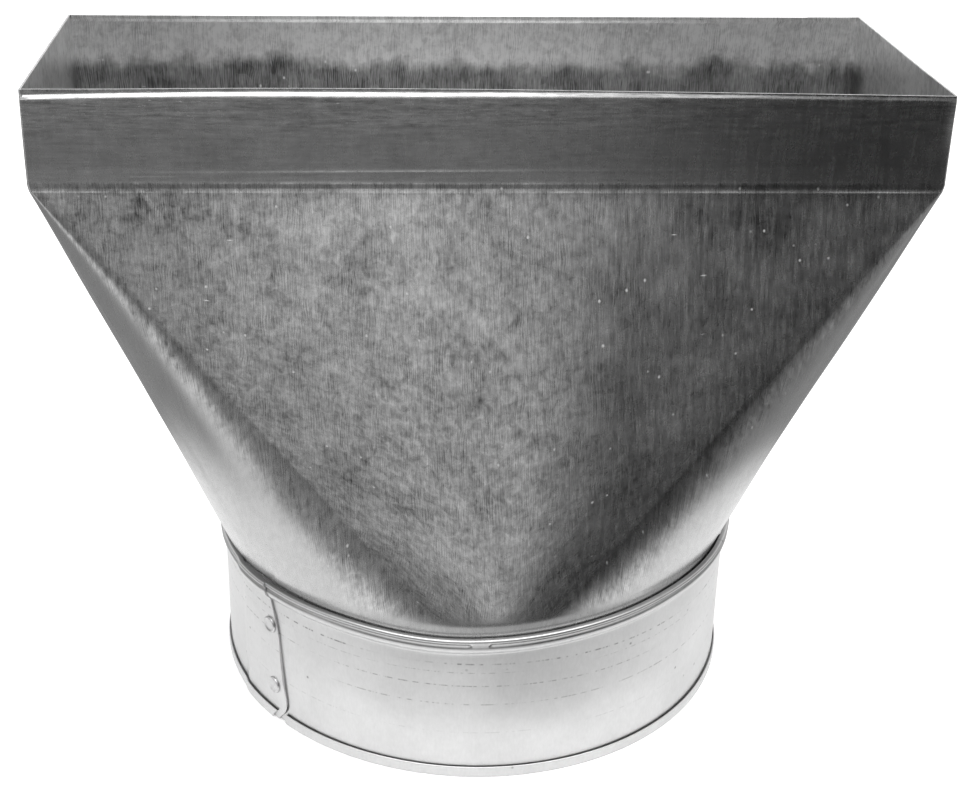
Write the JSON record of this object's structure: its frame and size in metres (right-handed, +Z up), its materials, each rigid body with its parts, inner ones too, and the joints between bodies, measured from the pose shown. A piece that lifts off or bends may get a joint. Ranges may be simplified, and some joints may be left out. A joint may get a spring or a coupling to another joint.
{
  "type": "stack boot",
  "caption": "Straight sheet-steel stack boot that joins a flat rectangular wall duct to a round duct, with a beaded and riveted round collar.",
  "frame": {"origin": "centre of the round collar, on the plane of its bottom hem that the fitting stands on", "axes": "+Z up along the duct from the round end to the rectangular end, +X along the long side of the rectangle, the seam side and broad front face toward -Y"},
  "size_m": [0.2361, 0.1572, 0.1878],
  "materials": {
    "galvanised_body": "galvanised sheet with fine vertical mill streaks, faint spangle and small white scuffs",
    "galvanised_collar": "galvanised strip, smooth, with faint rolling lines round the wall",
    "rivet_steel": "dull plated steel"
  },
  "bodies": {
    "root": {"boot_body": "galvanised_body", "round_collar": "galvanised_collar", "seam_rivets": "rivet_steel"}
  },
  "joints": []
}
